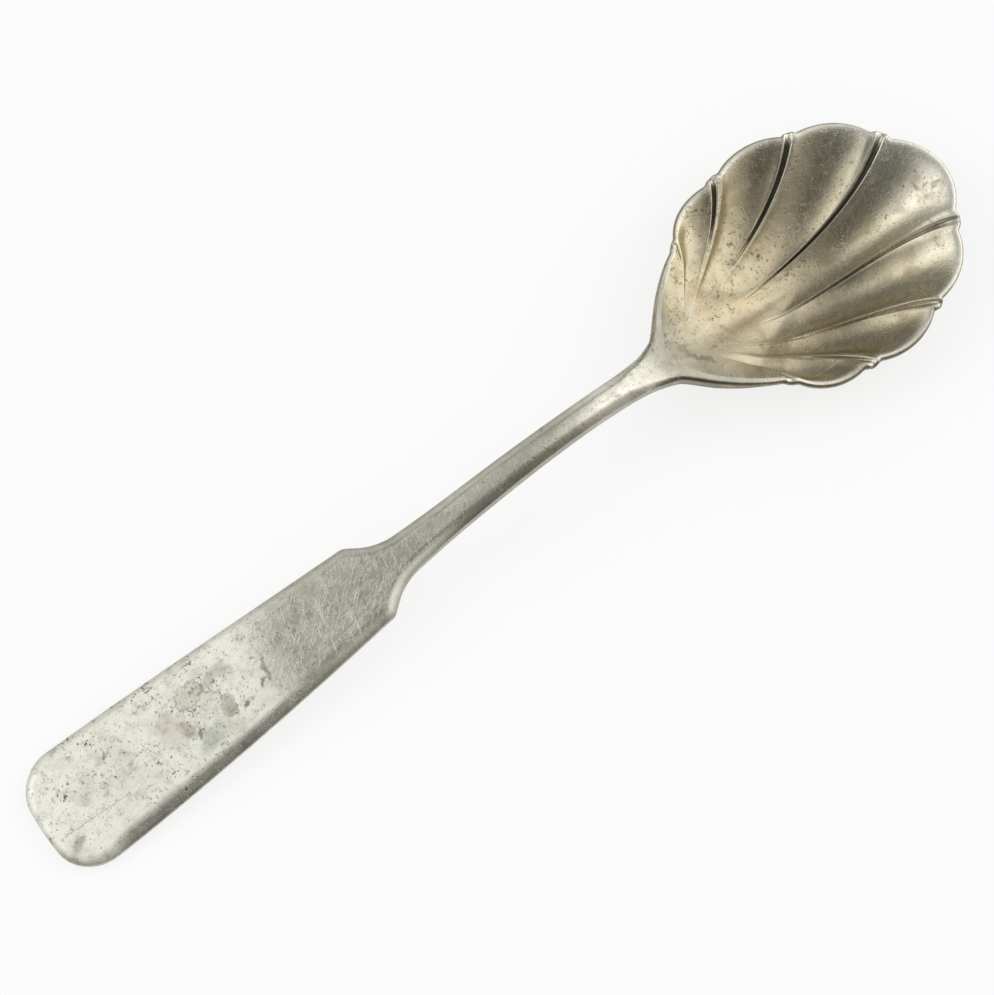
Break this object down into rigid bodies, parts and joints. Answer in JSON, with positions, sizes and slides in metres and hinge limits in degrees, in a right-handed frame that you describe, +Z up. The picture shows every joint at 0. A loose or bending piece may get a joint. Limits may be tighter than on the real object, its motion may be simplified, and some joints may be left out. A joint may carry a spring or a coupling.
{
  "type": "sugar spoon",
  "caption": "Sugar spoon with a flat fiddle handle, a slim bevelled stem and a shallow fluted shell bowl, in worn and tarnished silver plate, lying face up on a table.",
  "frame": {"origin": "on the table under the middle of the spoon's length, on its mirror plane", "axes": "+X along the spoon to the tip of the bowl, +Z up out of the open bowl, +Y to the left of the bowl's tip"},
  "size_m": [0.15, 0.0364, 0.0109],
  "materials": {
    "bowl_silver": "worn silver plate with warm tarnish, dark in the grooves",
    "handle_silver": "worn grey silver plate with pits, scratches and stains",
    "hard_solder": "dull silver solder"
  },
  "bodies": {
    "root": {"bowl": "bowl_silver", "handle": "handle_silver", "solder_seam": "hard_solder"}
  },
  "joints": []
}
